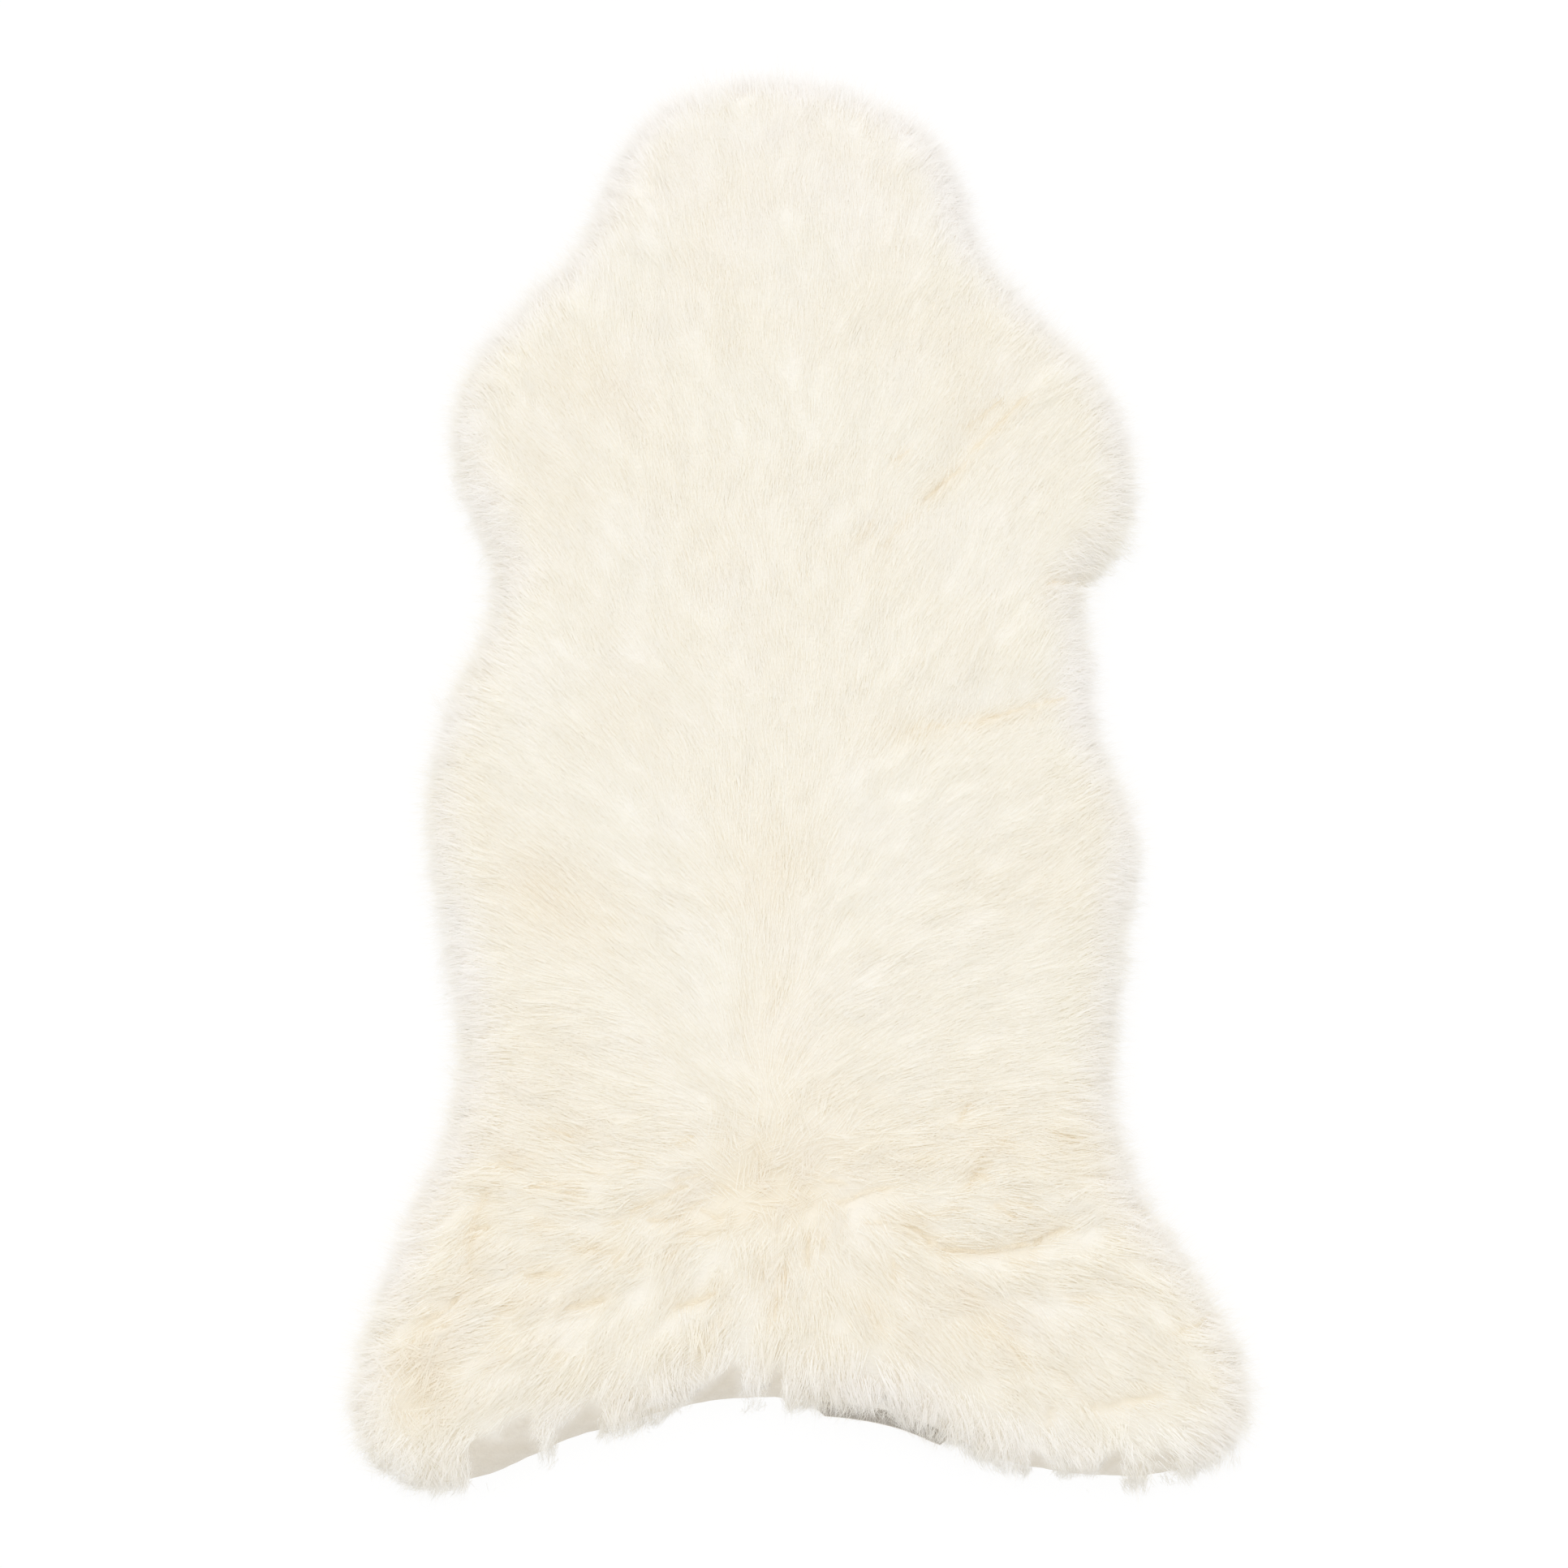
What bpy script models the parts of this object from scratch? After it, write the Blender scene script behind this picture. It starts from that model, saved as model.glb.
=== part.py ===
"""A sheepskin rug: one pelt with its wool on, spread flat, wool side up.

Metres, +Z up. +Y points from the hind legs to the neck, and the origin is on the floor under the
middle of the rug. The rug is one closed solid: a flat underside, a rim where the wool rolls over
to the floor, and a brushed top with the mounds, hollows and partings of the pile.
"""

from collections import namedtuple

import bmesh
import bpy
import numpy as np
from mathutils import Vector, kdtree
from mathutils.geometry import delaunay_2d_cdt

MM = 0.001

# The pile
LOFT = 48 * MM  # height of the brushed wool over the floor
WIDEST_HEIGHT = 15 * MM  # where the edge of the wool stands out furthest
ROLL_WIDTH = 48 * MM  # from the outline to where the top has its full height
UNDERCUT = 14 * MM  # from the outline in to where the underside lies on the floor

# The facets
EDGE_STEP = 12 * MM
TOP_STEP = 16 * MM
TOP_RINGS = (4 * MM, 12 * MM, 25 * MM)  # insets with points of their own, where the roll curves
UNDER_RINGS = (5 * MM, UNDERCUT + 1 * MM)
CROWDED = 0.96  # a ring's point nearer the outline than this share of its inset is left out

# The finish
WOOL_COLOUR = (0.91, 0.85, 0.74, 1)
WOOL_ROUGHNESS = 0.95

Landmark = namedtuple("Landmark", "name x y")
Form = namedtuple("Form", "name x y half_length half_width bearing height")

# The outline of the wool from above, clockwise from the neck, in millimetres
OUTLINE = [
    Landmark("neck", -14, 524),
    Landmark("neck corner, right", 45, 509),
    Landmark("brow, right", 93, 481),
    Landmark("cheek, right", 119, 441),
    Landmark("throat, right", 130, 393),
    Landmark("neck dip, right", 147, 358),
    Landmark("shoulder top, right", 220, 268),
    Landmark("shoulder, right", 238, 210),
    Landmark("shoulder end, right", 231, 146),
    Landmark("armpit, right", 198, 97),
    Landmark("side, right", 205, 60),
    Landmark("flank dip, right", 206, 5),
    Landmark("belly, right", 233, -84),
    Landmark("belly end, right", 225, -132),
    Landmark("hip dip, right", 213, -214),
    Landmark("thigh, right", 210, -268),
    Landmark("thigh end, right", 229, -334),
    Landmark("leg, right", 259, -380),
    Landmark("leg side, right", 291, -458),
    Landmark("toe corner, right", 276, -499),
    Landmark("toe, right", 232, -519),
    Landmark("shin, right", 140, -514),
    Landmark("notch, right", 60, -480),
    Landmark("tail", 5, -472),
    Landmark("notch, left", -50, -472),
    Landmark("shin, left", -148, -498),
    Landmark("toe start, left", -194, -519),
    Landmark("toe, left", -240, -524),
    Landmark("toe corner, left", -274, -507),
    Landmark("leg side, left", -291, -470),
    Landmark("leg, left", -277, -394),
    Landmark("thigh, left", -238, -288),
    Landmark("hip dip, left", -229, -234),
    Landmark("hip, left", -238, -180),
    Landmark("belly, left", -257, -65),
    Landmark("flank, left", -251, 2),
    Landmark("waist, left", -217, 106),
    Landmark("shoulder end, left", -242, 185),
    Landmark("shoulder, left", -251, 232),
    Landmark("shoulder top, left", -237, 287),
    Landmark("shoulder slope, left", -201, 336),
    Landmark("neck dip, left", -165, 378),
    Landmark("cheek, left", -132, 463),
    Landmark("brow, left", -97, 504),
]

# Mounds and hollows of the pile, in millimetres, with the bearing of the long side from +X in degrees
FORMS = [
    Form("nape", 0, 400, 70, 55, 90, 2),
    Form("withers", -20, 210, 130, 70, 90, 3),
    Form("parting on the right shoulder", 119, 206, 58, 9, 53, -6),
    Form("mound over the right waist", 136, 57, 60, 34, 10, 4),
    Form("parting across the right flank", 126, 3, 68, 11, 12, -6),
    Form("mound of the right belly", 120, -60, 70, 38, 15, 3),
    Form("hollow behind the left shoulder", -89, 75, 28, 12, -60, -3),
    Form("hollow of the left belly", -166, -127, 55, 28, -20, -3),
    Form("hollow along the loin", -20, -205, 60, 20, 90, -3),
    Form("mound of the right haunch", 130, -325, 50, 28, 0, 3),
    Form("mound of the left haunch", -130, -330, 60, 26, 10, 3),
    Form("crown of the croup", -19, -325, 42, 22, 0, -7),
    Form("parting right of the crown", 38, -337, 22, 7, 17, -5),
    Form("parting left of the crown", -85, -345, 40, 8, 19, -5),
    Form("curved parting, inner end", 87, -364, 20, 8, -32, -6),
    Form("curved parting, middle", 120, -373, 22, 8, 0, -6),
    Form("curved parting, outer end", 154, -364, 20, 8, 24, -6),
    Form("left haunch, upper parting", -164, -389, 16, 7, 3, -5),
    Form("left haunch, lower parting", -138, -407, 18, 7, 15, -6),
    Form("left haunch, inner parting", -68, -405, 18, 7, 20, -5),
    Form("left leg, upper parting", -208, -340, 34, 9, 80, -4),
    Form("left leg, lower parting", -237, -416, 30, 9, 40, -5),
    Form("left leg, whorl", -247, -472, 13, 11, 90, -6),
    Form("right haunch, dip", 123, -420, 12, 9, 0, -5),
    Form("right leg, parting", 206, -470, 26, 9, 12, -5),
]


def clear_scene():
    for found in list(bpy.data.objects):
        bpy.data.objects.remove(found)


def between(a, b, start, end, at):
    """The point at a given value on the line that is a at start and b at end."""
    return ((end - at) * a + (at - start) * b) / (end - start)


def curve_through(marks, share):
    """The point at share, from 0 to 1, between the middle two of four marks, on a Catmull-Rom curve."""
    knots = [0.0]
    for a, b in zip(marks, marks[1:]):
        knots.append(knots[-1] + np.linalg.norm(b - a) ** 0.5)
    at = knots[1] + share * (knots[2] - knots[1])
    level = marks
    for reach in (1, 2):
        level = [between(a, b, knots[i], knots[i + reach], at)
                 for i, (a, b) in enumerate(zip(level, level[1:]))]
    return between(level[0], level[1], knots[1], knots[2], at)


def smooth_outline():
    """Points 1 mm apart along the closed outline, with the middle of its box at the origin."""
    marks = [np.array([mark.x, mark.y]) * MM for mark in OUTLINE]
    count = len(marks)
    fine = []
    for i in range(count):
        around = [marks[(i + step) % count] for step in (-1, 0, 1, 2)]
        pieces = max(2, int(np.linalg.norm(around[2] - around[1]) / MM))
        fine += [curve_through(around, share) for share in np.arange(pieces) / pieces]
    fine = np.array(fine)
    return fine - (fine.min(axis=0) + fine.max(axis=0)) / 2


def spaced(fine, step):
    """The closed outline with its points about one step apart."""
    lengths = np.linalg.norm(np.roll(fine, -1, axis=0) - fine, axis=1)
    run = np.concatenate([[0], np.cumsum(lengths)])
    closed = np.vstack([fine, fine[:1]])
    stations = np.linspace(0, run[-1], round(run[-1] / step), endpoint=False)
    return np.stack([np.interp(stations, run, closed[:, axis]) for axis in (0, 1)], axis=1)


def tree_of(points):
    tree = kdtree.KDTree(len(points))
    for i, (x, y) in enumerate(points):
        tree.insert((x, y, 0), i)
    tree.balance()
    return tree


def inset_ring(edge, depth, tree):
    """The edge moved inwards. Points that would crowd together inside a tight bend are left out."""
    along = np.roll(edge, -1, axis=0) - np.roll(edge, 1, axis=0)
    along /= np.linalg.norm(along, axis=1)[:, None]
    inwards = np.stack([along[:, 1], -along[:, 0]], axis=1)
    moved = edge + inwards * depth
    return [tuple(p) for p in moved if tree.find((*p, 0))[2] > CROWDED * depth]


def inside(point, edge):
    """True if a ray from the point towards +X crosses the closed edge an odd number of times."""
    after = np.roll(edge, -1, axis=0)
    spans = (edge[:, 1] > point[1]) != (after[:, 1] > point[1])
    rise = (point[1] - edge[spans, 1]) / (after[spans, 1] - edge[spans, 1])
    crossings = edge[spans, 0] + rise * (after[spans, 0] - edge[spans, 0])
    return (crossings > point[0]).sum() % 2 == 1


def filling(edge, tree, clear):
    """A triangular grid of points that fills the outline, clear of its edge."""
    low, high = edge.min(axis=0), edge.max(axis=0)
    rows = np.arange(low[1], high[1], TOP_STEP * 3**0.5 / 2)
    points = []
    for number, y in enumerate(rows):
        for x in np.arange(low[0] + (number % 2) * TOP_STEP / 2, high[0], TOP_STEP):
            if inside((x, y), edge) and tree.find((x, y, 0))[2] > clear:
                points.append((x, y))
    return points


def top_height(x, y, depth):
    """The top of the pile at a place that lies depth inside the outline."""
    roll = min(depth / ROLL_WIDTH, 1)
    share = (1 - (1 - roll) ** 2) ** 0.5
    height = WIDEST_HEIGHT + (LOFT - WIDEST_HEIGHT) * share
    for form in FORMS:
        turn = np.radians(form.bearing)
        east, north = x - form.x * MM, y - form.y * MM
        along = (east * np.cos(turn) + north * np.sin(turn)) / (form.half_length * MM)
        across = (north * np.cos(turn) - east * np.sin(turn)) / (form.half_width * MM)
        height += form.height * MM * share * np.exp(-(along**2) - across**2)
    return height


def under_height(x, y, depth):
    """The underside, which curves up from the floor to the widest line."""
    share = max(0, 1 - depth / UNDERCUT)
    return WIDEST_HEIGHT * share**2


def add_skin(pelt, edge, points, tree, height, upwards):
    """Adds the triangles that join the edge and the points inside it, at the heights given."""
    places = [Vector(p) for p in [*map(tuple, edge), *points]]
    ring = range(len(edge))
    flat = delaunay_2d_cdt(places, [], [list(ring)], 1, 1e-7)
    verts = []
    for (x, y), origins in zip(flat[0], flat[3]):
        depth = 0 if origins[0] in ring else tree.find((x, y, 0))[2]
        verts.append(pelt.verts.new((x, y, height(x, y, depth))))
    for face in flat[2]:
        made = pelt.faces.new([verts[i] for i in face])
        made.normal_update()
        if (made.normal.z > 0) != upwards:
            made.normal_flip()


def wool_material():
    material = bpy.data.materials.new("ivory wool")
    material.use_nodes = True
    shader = material.node_tree.nodes["Principled BSDF"]
    shader.inputs["Base Color"].default_value = WOOL_COLOUR
    shader.inputs["Roughness"].default_value = WOOL_ROUGHNESS
    shader.inputs["Metallic"].default_value = 0
    return material


def sheepskin():
    """The whole pelt as one closed solid."""
    fine = smooth_outline()
    tree = tree_of(fine)
    edge = spaced(fine, EDGE_STEP)
    pelt = bmesh.new()
    top = [p for depth in TOP_RINGS for p in inset_ring(edge, depth, tree)]
    top += filling(edge, tree, TOP_RINGS[-1] + TOP_STEP / 2)
    add_skin(pelt, edge, top, tree, top_height, upwards=True)
    under = [p for depth in UNDER_RINGS for p in inset_ring(edge, depth, tree)]
    add_skin(pelt, edge, under, tree, under_height, upwards=False)
    bmesh.ops.remove_doubles(pelt, verts=pelt.verts, dist=MM / 100)
    mesh = bpy.data.meshes.new("sheepskin")
    pelt.to_mesh(mesh)
    pelt.free()
    mesh.shade_smooth()
    mesh.materials.append(wool_material())
    rug = bpy.data.objects.new("sheepskin", mesh)
    bpy.context.scene.collection.objects.link(rug)
    return rug


clear_scene()
sheepskin()
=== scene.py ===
"""Looks of the sheepskin rug: a suede hide on the floor, the dense fleece on it, and the wool's strands.

Metres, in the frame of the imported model: +Y to the neck, +X to the right, +Z up out of the wool.
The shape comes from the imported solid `sheepskin`. Locks grow out of the fleece, lie the way the wool is
brushed and draw together into tufts. Most strands are stretches of a lock, and start over the fleece.
"""

import math
from collections import namedtuple

import bmesh
import bpy
import numpy as np
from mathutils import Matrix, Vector
from mathutils.bvhtree import BVHTree
from mathutils.geometry import delaunay_2d_cdt
from mathutils.kdtree import KDTree


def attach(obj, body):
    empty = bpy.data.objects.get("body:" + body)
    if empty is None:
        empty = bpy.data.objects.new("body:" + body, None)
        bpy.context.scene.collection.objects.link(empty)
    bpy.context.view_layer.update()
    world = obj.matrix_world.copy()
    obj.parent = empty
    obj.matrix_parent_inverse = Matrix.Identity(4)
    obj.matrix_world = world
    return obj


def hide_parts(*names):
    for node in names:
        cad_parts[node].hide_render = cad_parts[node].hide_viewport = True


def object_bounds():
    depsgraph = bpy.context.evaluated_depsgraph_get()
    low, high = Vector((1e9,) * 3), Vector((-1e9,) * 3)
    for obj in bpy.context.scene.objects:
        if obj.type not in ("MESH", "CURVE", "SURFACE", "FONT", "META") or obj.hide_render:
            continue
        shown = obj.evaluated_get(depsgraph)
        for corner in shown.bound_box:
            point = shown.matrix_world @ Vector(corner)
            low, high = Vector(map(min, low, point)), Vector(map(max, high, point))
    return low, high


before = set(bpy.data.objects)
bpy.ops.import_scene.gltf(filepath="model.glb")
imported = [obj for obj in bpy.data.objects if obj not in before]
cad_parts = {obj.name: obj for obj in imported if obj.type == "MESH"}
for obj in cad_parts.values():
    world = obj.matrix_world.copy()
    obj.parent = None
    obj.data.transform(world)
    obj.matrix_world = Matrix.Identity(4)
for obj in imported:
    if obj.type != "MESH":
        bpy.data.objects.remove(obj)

MM = 0.001
cad_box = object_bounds()

# The camera, which stands at the hind-leg end and looks down along +Y
CAMERA_ELEVATION = math.radians(68)
CAMERA_DISTANCE = 2.6
CAMERA_AIM = Vector((-0.0108, -0.0388, 0.020))
CAMERA_LENS = 87.51

# The light
ROOM_LIGHT = 0.845
ROOM_SLOPE = 0.55  # how much brighter the room is the brightest way, and darker away from it
BRIGHTEST_WAY = (-0.22, 0.60, 0.75)
FLOOR_GLOW = 0.905
FLOOR_REACH = 30  # metres, each way

# The hide
HIDE_INSET = 36 * MM  # from the ends of the wool
BARE_HIDE_INSET = 2 * MM  # where it reaches out from under the wool
HIDE_THICKNESS = 2.2 * MM
HIDE_UNEVENNESS = 0.25 * MM
HIDE_STEP = 14 * MM  # between the points of its mesh

# The fleece under the fibres, drawn in from the solid
FLEECE_INSET_TOP = 3.0 * MM
FLEECE_INSET_SIDE = 7 * MM  # at the outline
SIDE_INSET_FADE = 70 * MM  # how far inside the outline the sides' inset has run out
CLUMP_HEIGHT = 0.4 * MM
OPENING_DEPTH = 2 * MM
OPENING_REACH = 0.27  # how far from its line a parting lies open, as a share of its width
HOLLOW_DEPTH = 1 * MM
HOLLOW_REACH = (0, 7 * MM, 14 * MM)  # a hollow runs forward to the edge in these steps
FLEECE_GAP = 0.4 * MM  # between the floor and the fleece, past the hide
STRAND_GAP = 0.8 * MM  # the least between the floor and the middle line of a strand

# The wool: tufts gather the locks, locks are the guides of the fibres, and the fibres are what shows
TUFTS = 2200
LOCKS = 14000
GUIDE_STEPS = 6
FIBRES = 172000
FIBRE_RINGS = 1
FUZZ = 38000  # loose fibres that stand out of the sides
HAIRS = 9500  # longer, curved ones, most of them round the edge
HAIR_RINGS = 2
SEAM_STRANDS = 3  # for each millimetre of a parting
SEAM_HOLLOW = 0.75  # how far they take the colour of a hollow
EDGE_ENDS = (6 * MM, 9 * MM)  # how far inside the outline the outermost locks end: the mean and the spread
FRINGE_ENDS = (4 * MM, 2 * MM)  # the same between the hind legs
MOST_TRIANGLES = 195000  # in one piece

# The shortest and longest, and the thinnest and thickest of each kind, in millimetres
LOCK_LENGTH = (30, 40)
LOCK_GIRTH = (4.5, 8.5)
FIBRE_LENGTH = (14, 23)
FIBRE_WIDTH = (0.30, 0.46)
HAIR_LENGTH = (20, 30)
HAIR_WIDTH = (0.24, 0.34)
FUZZ_WIDTH = (0.16, 0.28)
SEAM_LENGTH = (3, 7)
SEAM_WIDTH = (0.25, 0.36)

# The wool's colours at the tip, at the root and where it is palest, yellowest or in a hollow, and its bump.
# The fleece's hollow colour is painted shade, the strands' hollow colour the yellow of the roots in the
# seams; the palest colour is partly painted light on the shaded edges.
WoolLook = namedtuple("WoolLook", "tip root pale warm hollow bump_strength bump_height")
STRAND_LOOK = WoolLook(
    (0.962, 0.948, 0.894, 1), (0.953, 0.932, 0.866, 1), (0.970, 0.959, 0.951, 1),
    (0.950, 0.900, 0.780, 1), (0.94, 0.875, 0.735, 1), 0.3, 0.2 * MM,
)
FLEECE_LOOK = WoolLook(
    (0.925, 0.895, 0.82, 1), None, (0.955, 0.940, 0.922, 1),
    (0.84, 0.75, 0.58, 1), (0.74, 0.68, 0.58, 1), 0.8, 1.0 * MM,
)

# The suede, from its darker clouds to its lighter ones, and the painted shade along its edge
SUEDE_DARK = (0.72, 0.65, 0.54, 1)
SUEDE_LIGHT = (0.84, 0.79, 0.70, 1)
# the colour of the painted shade along the hide's edge, standing in for the shadow under the wool
SUEDE_EDGE_SHADE = (0.52, 0.485, 0.44, 1)

Line = namedtuple("Line", "name x0 y0 x1 y1 width strength")
Pool = namedtuple("Pool", "name x y half_length half_width bearing strength")

# Lines where the wool falls apart and shows its yellower roots, in millimetres
PARTINGS = [
    Line("right shoulder, long", 158, 244, 122, 205, 5, 0.7),
    Line("right shoulder, beside it", 141, 242, 118, 222, 5, 0.7),
    Line("right shoulder, lower", 115, 192, 87, 165, 7, 0.75),
    Line("right shoulder, short", 76, 202, 67, 195, 5, 0.7),
    Line("right shoulder, inner", 51, 148, 41, 132, 5, 0.4),
    Line("right shoulder, low", 75, 152, 58, 128, 5, 0.4),
    Line("right waist, in the notch", 205, 112, 170, 102, 6, 0.7),
    Line("right flank, outer", 182, 17, 124, -1, 8, 0.7),
    Line("right flank, inner", 124, -1, 72, -9, 9, 0.5),
    Line("right loin, upper", 110, -273, 104, -287, 6, 0.6),
    Line("right loin, outer", 134, -296, 131, -303, 6, 0.5),
    Line("right loin, lower", 117, -317, 108, -331, 6, 0.7),
    Line("right of the crown, inner", 24, -340, 42, -333, 7, 0.9),
    Line("right of the crown, outer", 42, -333, 58, -330, 6, 0.8),
    Line("right of the crown, lower", 42, -354, 55, -354, 5, 0.7),
    Line("curved, inner end", 71, -357, 92, -371, 7, 1.0),
    Line("curved, inner middle", 92, -371, 118, -372, 7, 1.0),
    Line("curved, outer middle", 118, -372, 148, -368, 7, 0.9),
    Line("curved, outer end", 148, -368, 170, -357, 7, 0.8),
    Line("above the curved one", 71, -352, 103, -345, 5, 0.5),
    Line("under the crown, left", -10, -383, -10, -393, 5, 0.8),
    Line("under the crown, middle", 5, -364, 4, -383, 5, 0.8),
    Line("under the crown, right", 15, -366, 15, -373, 5, 0.6),
    Line("right haunch, upper", 104, -400, 113, -404, 8, 0.6),
    Line("right haunch, middle", 117, -416, 128, -422, 8, 0.7),
    Line("right haunch, lower", 134, -435, 142, -447, 6, 0.7),
    Line("right haunch, short upright", 60, -381, 60, -392, 5, 0.6),
    Line("right haunch, outer", 173, -406, 192, -406, 5, 0.5),
    Line("right leg, inner upright", 158, -475, 156, -488, 6, 0.9),
    Line("right leg", 184, -475, 228, -466, 7, 0.8),
    Line("right leg, short", 237, -428, 261, -415, 6, 0.6),
    Line("left of the crown, long", -108, -346, -74, -329, 6, 0.8),
    Line("left of the crown, thin", -98, -352, -79, -352, 5, 0.7),
    Line("left of the crown, knot", -64, -345, -51, -351, 9, 1.0),
    Line("left of the crown, lower", -73, -361, -59, -361, 6, 1.0),
    Line("left haunch, top", -152, -334, -146, -337, 6, 0.7),
    Line("left haunch, inner top", -110, -314, -104, -315, 5, 0.7),
    Line("left haunch, inner blob", -121, -355, -115, -354, 7, 0.7),
    Line("left haunch, outer blob", -172, -356, -165, -357, 7, 0.6),
    Line("left haunch, middle", -144, -371, -120, -375, 8, 0.6),
    Line("left haunch, outer", -175, -389, -155, -388, 7, 0.9),
    Line("left haunch, dark", -149, -410, -126, -404, 8, 1.0),
    Line("left haunch, inner", -81, -410, -55, -401, 7, 0.8),
    Line("left leg, upper", -203, -334, -212, -354, 8, 0.7),
    Line("left leg, knot", -212, -357, -201, -357, 6, 0.9),
    Line("left leg, middle", -212, -354, -213, -385, 8, 0.6),
    Line("left leg, lower", -220, -404, -240, -420, 9, 0.9),
    Line("left leg, inner", -196, -430, -190, -440, 7, 0.5),
]

# Hollows between the locks along the edge between the hind legs, in millimetres: the fleece is drawn in
# there, strands are left out, and painted shade darkens the fleece
HOLLOWS = [
    Line("left leg, inner side", -205, -499, -172, -497, 6, 1.0),
    Line("left leg, its top", -187, -490, -175, -483, 5, 0.9),
    Line("left leg, beside it", -152, -490, -134, -476, 6, 0.9),
    Line("left of the middle, low", -93, -483, -66, -466, 3.5, 0.8),
    Line("left of the middle, high", -66, -466, -42, -451, 5, 1.0),
    Line("middle, thin", -41, -465, -22, -462, 3, 0.7),
    Line("middle", -20, -461, -14, -452, 4.5, 0.8),
    Line("right leg, inner", 148, -504, 165, -516, 4, 0.9),
    Line("right leg, under", 165, -516, 195, -515, 4, 0.9),
    Line("right leg, its top", 193, -510, 200, -505, 5, 0.9),
    Line("right leg, outer", 223, -505, 236, -504, 4, 0.7),
]

# Small openings in the wool of the haunches, strewn at random
OPENINGS = 50
OPENINGS_LOW, OPENINGS_HIGH = -465 * MM, -285 * MM

# Places where the wool is yellower, in millimetres, with the bearing of the long side from +X in degrees
POOLS = [
    Pool("crown of the croup", -19, -323, 55, 30, 0, 0.9),
    Pool("loin", -22, -213, 42, 26, 90, 0.35),
    Pool("back", -22, -116, 40, 30, 60, 0.45),
    Pool("left belly", -166, -127, 50, 30, -30, 0.6),
    Pool("left shoulder", -129, 251, 45, 30, -40, 0.5),
    Pool("left leg", -245, -455, 28, 22, 90, 0.9),
    Pool("left haunch", -56, -351, 26, 12, 15, 0.8),
    Pool("right haunch", 123, -420, 22, 14, 0, 0.6),
]

# The stretch of edge between the hind legs where the hide reaches out from under the wool, in millimetres
BARE_HIDE = Line("right of the middle", 22, -471, 84, -482, 16, 1.0)

CROWN = (-19 * MM, -323 * MM)  # where the brushed wool parts: up the back above it, down the tail below
WHORL = (-248 * MM, -470 * MM)  # on the left hind leg

FIELD_MARGIN = 30 * MM  # how far the grids of values reach past the rug's box
NOISE_CELLS = 97  # each way, after which the noise repeats
NOISE_START = 500  # cells
WELDING_DISTANCE = MM / 50


def smooth_step(value, start, end):
    """0 up to the start and 1 from the end on, with a smooth rise between them."""
    share = np.clip((value - start) / (end - start), 0, 1)
    return share * share * (3 - 2 * share)


def bell(distance, reach):
    """1 at no distance, falling away smoothly to about a third at the reach."""
    return np.exp(-(distance / reach) ** 2)


def unit(vectors):
    """The vectors, each made 1 long."""
    return vectors / np.maximum(np.linalg.norm(vectors, axis=-1, keepdims=True), 1e-9)


def blended(table, ix, iy, fx, fy):
    """Values read off between the rows and columns of a table, which repeats past its ends."""
    rows, columns = table.shape
    ix, iy, next_x, next_y = ix % rows, iy % columns, (ix + 1) % rows, (iy + 1) % columns
    low = table[ix, iy] * (1 - fx) + table[next_x, iy] * fx
    high = table[ix, next_y] * (1 - fx) + table[next_x, next_y] * fx
    return low * (1 - fy) + high * fy


def soft_noise(x, y, cell, seed):
    """Smooth random values from -1 to 1, from random numbers on a grid one cell apart."""
    table = np.random.default_rng(seed).uniform(-1, 1, (NOISE_CELLS, NOISE_CELLS))
    gx, gy = x / cell + NOISE_START, y / cell + NOISE_START
    ix, iy = np.floor(gx).astype(int), np.floor(gy).astype(int)
    return blended(table, ix, iy, smooth_step(gx - ix, 0, 1), smooth_step(gy - iy, 0, 1))


def welded(mesh):
    """A copy of the mesh in which faces that meet share their corners."""
    joined = bmesh.new()
    joined.from_mesh(mesh)
    bmesh.ops.remove_doubles(joined, verts=joined.verts, dist=WELDING_DISTANCE)
    copy = bpy.data.meshes.new("welded")
    joined.to_mesh(copy)
    joined.free()
    return copy


def edges_of(faces):
    """The edges round each of the faces, as pairs of point numbers."""
    return [edge for face in faces for edge in zip(face.vertices, [*face.vertices[1:], face.vertices[0]])]


def rim_of(mesh):
    """The widest line of the solid as a closed ring of points: where faces that look up meet the others."""
    up = set(edges_of(face for face in mesh.polygons if face.normal.z > 0))
    others = edges_of(face for face in mesh.polygons if face.normal.z <= 0)
    after = {b: a for a, b in others if (b, a) in up}
    start = min(after)
    ring, at = [start], after[start]
    while at != start:
        ring.append(at)
        at = after[at]
    return np.array([mesh.vertices[i].co[:2] for i in ring])


def resample(ring, step):
    """Points about one step apart along a closed ring."""
    ends = np.vstack([ring, ring[:1]])
    run = np.concatenate([[0], np.cumsum(np.linalg.norm(np.diff(ends, axis=0), axis=1))])
    stations = np.linspace(0, run[-1], round(run[-1] / step), endpoint=False)
    return np.stack([np.interp(stations, run, ends[:, axis]) for axis in (0, 1)], axis=1)


def ring_area(ring):
    """The area inside a closed ring of points, below zero where the ring runs clockwise."""
    x, y = ring.T
    return 0.5 * np.sum(x * np.roll(y, -1) - np.roll(x, -1) * y)


def tree_of(places):
    """A tree that finds the nearest of some places."""
    tree = KDTree(len(places))
    for number, place in enumerate(places):
        tree.insert(place, number)
    tree.balance()
    return tree


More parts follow.
